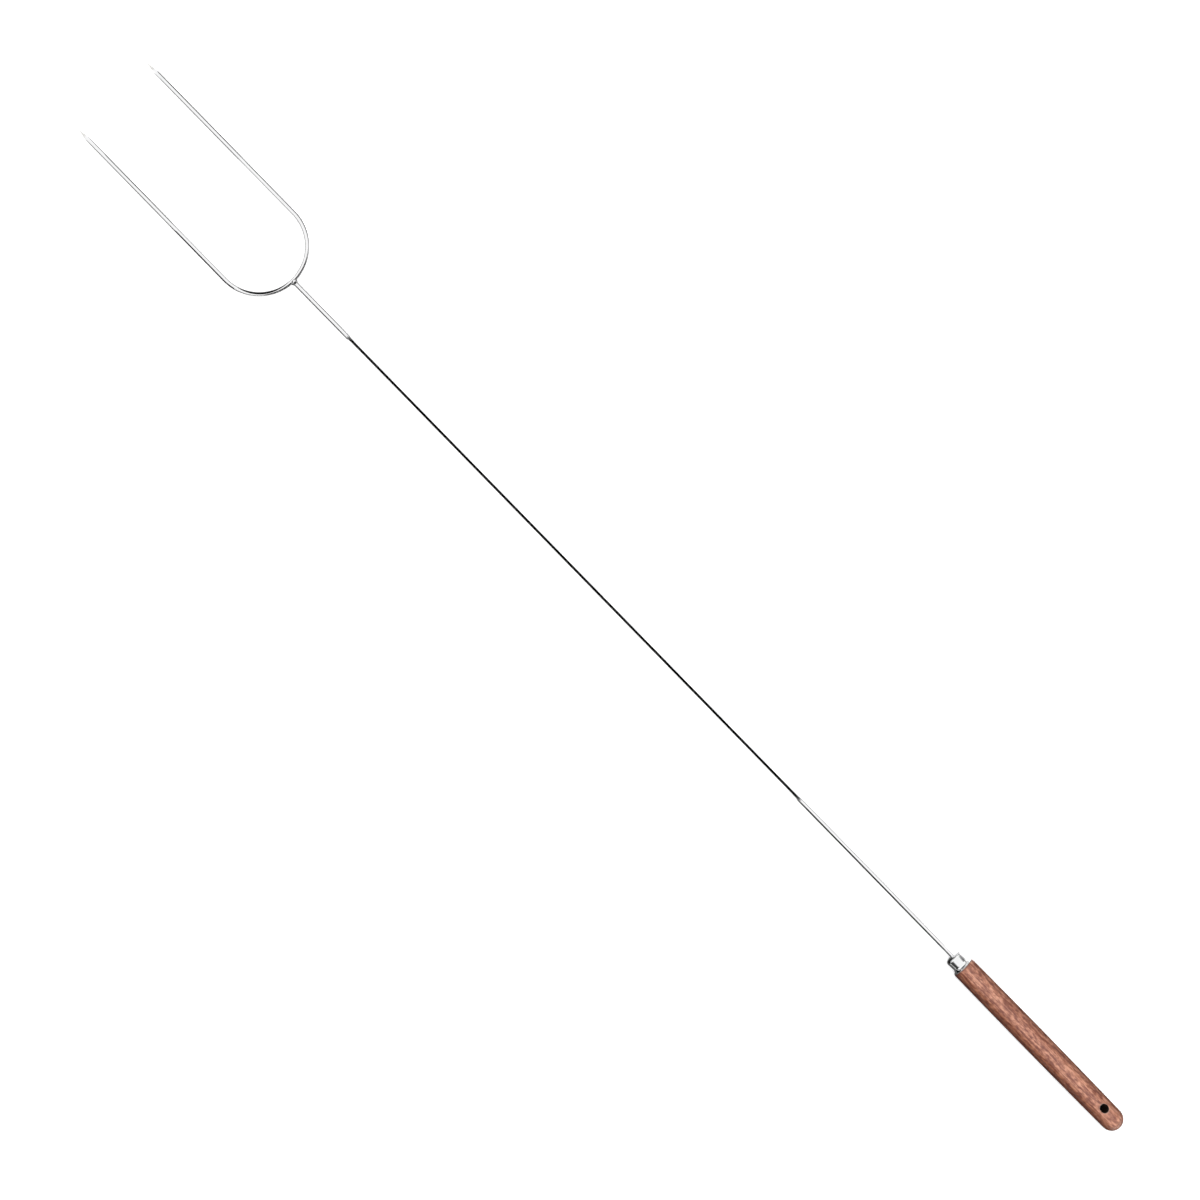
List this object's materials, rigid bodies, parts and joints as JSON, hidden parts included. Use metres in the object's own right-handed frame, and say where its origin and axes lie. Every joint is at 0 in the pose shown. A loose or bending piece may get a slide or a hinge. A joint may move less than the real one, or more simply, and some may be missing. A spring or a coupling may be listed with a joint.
{
  "type": "campfire roasting fork",
  "caption": "Long two-prong roasting fork of chromed wire, with a ferrule and a turned wooden handle that has a hanging hole.",
  "frame": {"origin": "centre of the hanging hole, on the long axis of the handle", "axes": "+X along the shaft towards the prong tips, +Z square to the plane of the prongs, Y across the two prongs"},
  "size_m": [1.016, 0.0706, 0.0176],
  "materials": {
    "chromed_wire": "bright chrome plate on drawn steel wire",
    "chromed_weld": "chrome plate over an undressed weld",
    "chromed_ferrule": "bright chrome plate on pressed steel",
    "varnished_wood": "clear varnish on reddish-brown hardwood"
  },
  "bodies": {
    "root": {"prong_wire": "chromed_wire", "shaft_rod": "chromed_wire", "weld_bead": "chromed_weld", "ferrule": "chromed_ferrule", "handle": "varnished_wood"}
  },
  "joints": []
}
